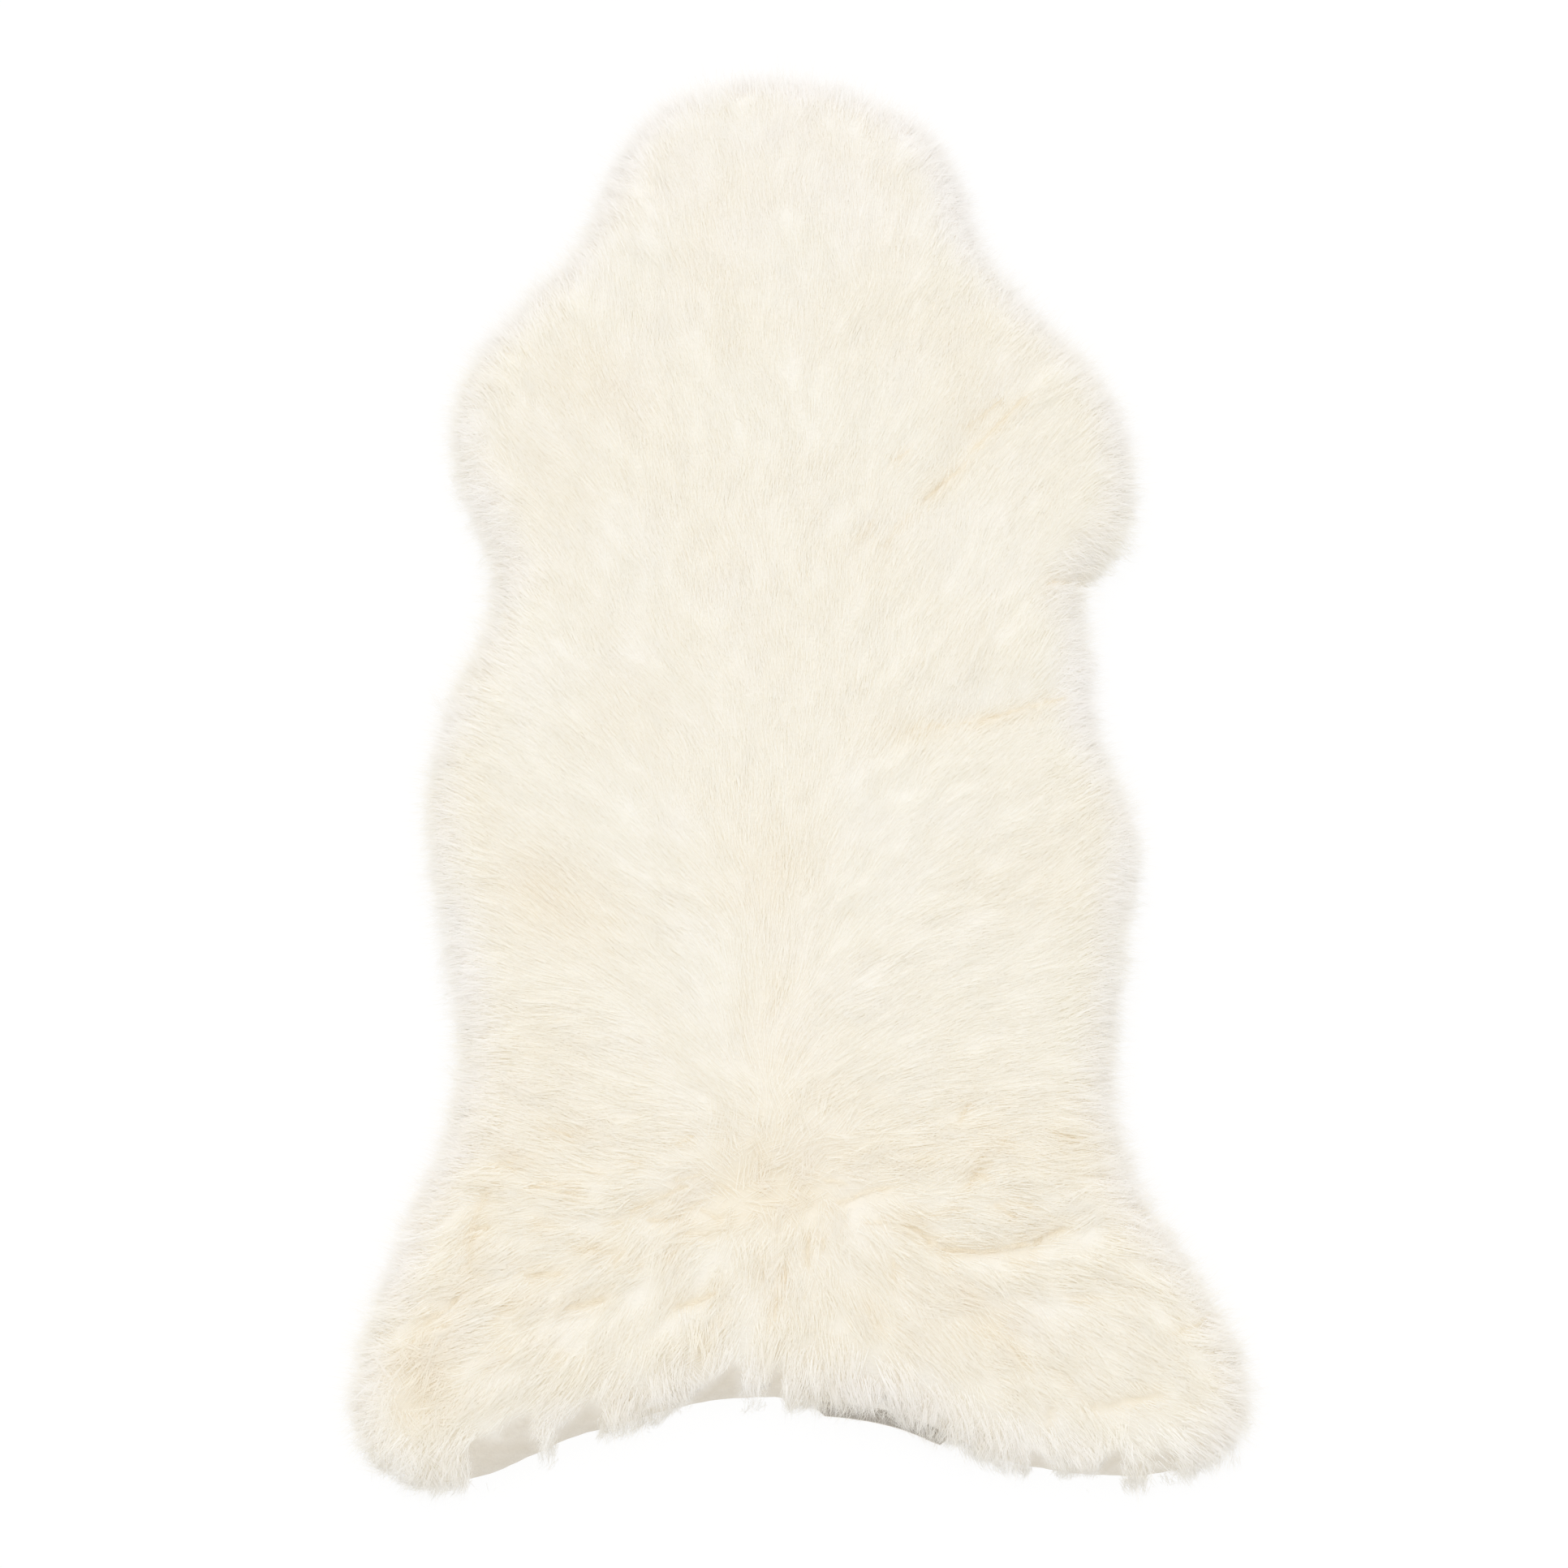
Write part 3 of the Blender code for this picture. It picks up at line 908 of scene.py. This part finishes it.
def hide_grid(edge, outline):
    """Places on a square grid well inside the hide's edge."""
    low, high = edge.min(axis=0), edge.max(axis=0)
    columns, rows = (np.arange(low[axis], high[axis], HIDE_STEP) for axis in (0, 1))
    grid = np.stack(np.meshgrid(columns, rows), axis=-1).reshape(-1, 2)
    depth, _ = outline.nearest(grid)
    return grid[depth > HIDE_INSET + HIDE_STEP / 2]


def sheet_faces(points, triangles):
    """The faces and the border of a closed sheet whose upper points are numbered after the lower ones."""
    count = len(points)
    faces, border = [], {}
    for face in triangles:
        face = list(face) if ring_area(points[list(face)]) > 0 else list(face)[::-1]
        faces.append([i + count for i in face])
        faces.append(face[::-1])
        for a, b in zip(face, face[1:] + face[:1]):
            if border.pop((b, a), None) is None:
                border[a, b] = True
    faces += [[a, b, b + count, a + count] for a, b in border]
    return faces, list(border)


def hide_mesh(outline):
    """The hide as a thin closed sheet that lies on the floor, with its size and its area when cut flat."""
    edge = hide_edge(outline)
    places = [Vector(place) for place in np.vstack([edge, hide_grid(edge, outline)])]
    flat = delaunay_2d_cdt(places, [], [list(range(len(edge)))], 1, 1e-7)
    points = np.array([tuple(point) for point in flat[0]])
    thick = HIDE_THICKNESS + HIDE_UNEVENNESS * soft_noise(points[:, 0], points[:, 1], 30 * MM, 41)
    under, over = (np.column_stack([points, height]) for height in (np.zeros(len(points)), thick))
    faces, border = sheet_faces(points, flat[2])
    mesh = bpy.data.meshes.new("hide")
    mesh.from_pydata(np.vstack([under, over]).tolist(), [], faces)
    mesh.validate()
    # the upper edge of the hide, which gets the painted shade
    cut = np.zeros(2 * len(points))
    cut[[a + len(points) for a, b in border]] = 1
    add_values(mesh, cut=cut)
    return mesh, tuple(edge.max(axis=0) - edge.min(axis=0)), abs(ring_area(edge))


def stage():
    """A white floor that glows, in a white room."""
    mesh = bpy.data.meshes.new("floor")
    corners = [(x * FLOOR_REACH, y * FLOOR_REACH, 0) for x, y in ((-1, -1), (1, -1), (1, 1), (-1, 1))]
    mesh.from_pydata(corners, [], [(0, 1, 2, 3)])
    shading = new_shading("white floor")
    matt = {"Base Color": (0.1, 0.1, 0.1, 1), "Roughness": 0.9, "Specular IOR Level": 0.1}
    shading.fill(shading.last, {**matt, "Emission Color": (1, 1, 1, 1), "Emission Strength": FLOOR_GLOW})
    mesh.materials.append(shading.owner)
    new_object("floor", mesh)
    bpy.context.scene.world = white_room()


def white_room():
    """A white room, brighter overhead, at the neck and a little to the left."""
    shading = Shading(bpy.data.worlds.new("white room"), "Background")
    brightest = tuple(Vector(BRIGHTEST_WAY).normalized() * ROOM_LIGHT * ROOM_SLOPE)
    way = shading.add("TexCoord", "Generated", {})
    extra = shading.add("VectorMath", "Value", {0: way, 1: brightest}, operation="DOT_PRODUCT")
    light = shading.add("Math", 0, {0: extra, 1: ROOM_LIGHT}, operation="ADD")
    shading.fill(shading.last, {"Color": (1, 1, 1, 1), "Strength": light})
    return shading.owner


def camera():
    """The photo's view, from above the hind legs."""
    data = bpy.data.cameras.new("camera")
    data.lens = CAMERA_LENS
    data.sensor_width = 36
    data.clip_end = 100
    made = new_object("camera", data)
    back = Vector((0, -math.cos(CAMERA_ELEVATION), math.sin(CAMERA_ELEVATION)))
    made.location = CAMERA_AIM + back * CAMERA_DISTANCE
    made.rotation_mode = "QUATERNION"
    made.rotation_quaternion = (-back).to_track_quat("-Z", "Y")
    bpy.context.scene.camera = made


Strands = namedtuple("Strands", "paths along width side skyward")


def lock_strands(locks, owner, length, width, rings, fields, rng):
    """Strands that lie in locks, and shade as the locks' rounded backs."""
    paths, start, across = strand_paths(locks, owner, length, rings + 1, fields, rng)
    reach = (length / locks.length[owner])[:, None]
    along = np.clip(start[:, None] + np.linspace(0, 1, rings + 1)[None] * reach, 0, 1)
    facing = locks.normals[owner] * 0.7 + (0, 0, 0.9)
    beside = np.clip(locks.beside[owner] / (10 * MM), -1, 1)
    rounding = 0.10 * across + 0.22 * (locks.shag[owner] - 0.22) * beside
    skyward = unit(facing + locks.side[owner] * rounding[:, None])
    return Strands(paths, along, width, locks.side[owner], skyward)


def fuzz_strands(mesh, outline, fields, rng):
    """Loose fibres that stand out of the sides, so that the edge fades, but few between the hind legs."""
    def sides(places):
        low = smooth_step(places[:, 2], 3 * MM, 16 * MM)
        deep = smooth_step(fields.depth.at(places), 22 * MM, 36 * MM)
        return (low + 0.03) * (1 - deep) * (1 - 0.85 * fields.fringe.at(places))

    roots, normals = scattered(mesh, FUZZ, rng, sides)
    _, outwards = outline.nearest(roots)
    outwards = np.column_stack([outwards, np.zeros(FUZZ)])
    way = 0.7 * normals + 0.9 * outwards + rng.normal(0, 0.40, (FUZZ, 3))
    way[:, 2] = np.minimum(way[:, 2], 0.3 * np.linalg.norm(way[:, :2], axis=1))
    way = unit(way)
    length = np.minimum(rng.exponential(9 * MM, FUZZ) + 12 * MM, 36 * MM)
    length = length * (0.35 + 0.65 * smooth_step(roots[:, 2], 10 * MM, 28 * MM))
    paths = np.stack([roots, roots + way * length[:, None]], axis=1)
    paths[..., 2] = np.maximum(paths[..., 2], STRAND_GAP)
    side = unit(np.cross(way, (0, 0, 1)))
    skyward = np.cross(side, way)
    along = np.tile((0.4, 1.0), (FUZZ, 1))
    return Strands(paths, along, rng.uniform(*FUZZ_WIDTH, FUZZ) * MM, side, skyward)


def seam_strands(partings, fields, rng):
    """Short strands low in the partings, where the yellower part of the wool shows."""
    starts, ways = [], []
    for parting in partings:
        start, end = ends_of(parting)
        span = end - start
        count = round(np.linalg.norm(span) / MM * SEAM_STRANDS * parting.strength)
        across = np.array([-span[1], span[0]]) / np.linalg.norm(span)
        jitter = rng.normal(0, 0.12 * parting.width, count) * MM
        starts.append(start + span * rng.random(count)[:, None] + across * jitter[:, None])
        ways.append(turned(np.repeat(unit(span)[None], count, axis=0), rng.normal(0, 0.25, count)))
    starts, ways = np.vstack(starts), np.vstack(ways)
    away_from_fringe = fields.hollow.at(starts) + fields.fringe.at(starts) < 0.3
    covered = away_from_fringe & (fields.height.at(starts) > 20 * MM)
    starts, ways = starts[covered], ways[covered]
    count = len(starts)
    half = ways * (rng.uniform(*SEAM_LENGTH, count) * MM)[:, None] / 2
    ends = np.stack([starts - half, starts + half], axis=1)
    heights = np.stack([fields.height.at(ends[:, 0]), fields.height.at(ends[:, 1])], axis=1)
    paths = np.concatenate([ends, (heights + 0.5 * MM)[..., None]], axis=2)
    side = np.column_stack([ways[:, 1], -ways[:, 0], np.zeros(count)])
    skyward = np.tile((0.0, 0.0, 1.0), (count, 1))
    return Strands(paths, np.zeros((count, 2)), rng.uniform(*SEAM_WIDTH, count) * MM, side, skyward)


def points_at(paths, share):
    """A point on each path, at a share of the way to its tip."""
    at = np.clip(share, 0, 1) * (paths.shape[1] - 1)
    low = np.minimum(at.astype(int), paths.shape[1] - 2)
    part, row = (at - low)[:, None], np.arange(len(paths))
    return paths[row, low] * (1 - part) + paths[row, low + 1] * part


def cut_at_gaps(strands, fields, rng):
    """The strands cut short where they would cross a parting or a hollow, and none that start in one."""
    count, points = strands.paths.shape[:2]
    bar = 0.3 + 0.4 * rng.random(count)
    free = np.ones(count)
    for share in np.linspace(1, 0, 11):
        place = points_at(strands.paths, np.full(count, share))
        gap = np.maximum(fields.openness.at(place), fields.hollow.at(place))
        free = np.where(gap > bar, share, free)
    kept = free > 0.25
    strands = Strands(*(values[kept] for values in strands))
    shares = free[kept][:, None] * np.linspace(0, 1, points)
    paths = np.stack([points_at(strands.paths, share) for share in shares.T], axis=1)
    return strands._replace(paths=paths)


def strand_pieces(kind, strands, fields, material, hollow=0.0):
    """Strands in as few pieces as the limit on triangles allows, in order from the legs to the neck."""
    rings = strands.paths.shape[1] - 1
    order = np.argsort(strands.paths[:, 0, 1])
    parts = math.ceil(len(order) * (6 * rings - 2) / MOST_TRIANGLES)
    taper = np.linspace(1, 0, rings + 1) ** 0.6
    pieces = []
    for number, part in enumerate(np.array_split(order, parts)):
        name = f"{kind}_{number + 1}"
        mine = Strands(*(values[part] for values in strands))
        mesh, per = strand_mesh(name, mine, taper)
        along = np.concatenate([np.repeat(mine.along[:, :rings], 3, axis=1), mine.along[:, rings:]], axis=1)
        middle = mine.paths.mean(axis=1)
        pallor, warmth = (np.repeat(at, per) for at in (pallor_at(middle, fields), fields.warmth.at(middle)))
        add_values(mesh, along=along, pallor=pallor, warmth=warmth, hollow=np.full(len(pallor), hollow))
        pieces.append(new_piece(name, mesh, material))
    return pieces


def wool_pieces(mesh, outline, partings, fields):
    """The fibres all over the fleece, the hairs and the fuzz round it, and the seams in the partings."""
    rng = np.random.default_rng(2024)
    locks = Locks(mesh, outline, fields, rng)
    material = wool_material("wool fibres", STRAND_LOOK)
    owner = np.arange(FIBRES) % LOCKS
    length = rng.uniform(*FIBRE_LENGTH, FIBRES) * MM * (1 - 0.25 * locks.rim[owner])
    width = rng.uniform(*FIBRE_WIDTH, FIBRES) * MM * (1 - 0.3 * locks.rim[owner])
    fibres = lock_strands(locks, owner, length, width, FIBRE_RINGS, fields, rng)
    weight = locks.rim + 0.02
    owner = rng.choice(LOCKS, HAIRS, p=weight / weight.sum())
    length = rng.uniform(*HAIR_LENGTH, HAIRS) * MM
    width = rng.uniform(*HAIR_WIDTH, HAIRS) * MM
    hairs = lock_strands(locks, owner, length, width, HAIR_RINGS, fields, rng)
    fuzz = fuzz_strands(mesh, outline, fields, rng)
    pieces = []
    for kind, strands in (("wool", fibres), ("hairs", hairs), ("fuzz", fuzz)):
        pieces += strand_pieces(kind, cut_at_gaps(strands, fields, rng), fields, material)
    seams = seam_strands(partings, fields, rng)
    return pieces + strand_pieces("seams", seams, fields, material, SEAM_HOLLOW)


def build():
    """The hide, the fleece on it and the strands over the fleece."""
    solid = welded(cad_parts["sheepskin"].data)
    outline = Outline(rim_of(solid))
    partings = PARTINGS + strewn_openings()
    fields = fields_over(outline, partings)
    skin, flat, area = hide_mesh(outline)
    hide = new_piece("hide", skin, suede_material())
    mesh = fleece_mesh(solid, outline, fields)
    fields = fields._replace(height=height_field(mesh))
    fleece = new_piece("fleece", mesh, wool_material("fleece", FLEECE_LOOK))
    strands = wool_pieces(mesh, outline, partings, fields)


camera()
stage()
build()
bpy.context.scene.view_settings.view_transform = "Standard"
bpy.context.scene.cycles.max_bounces = 32
bpy.context.scene.cycles.diffuse_bounces = 32
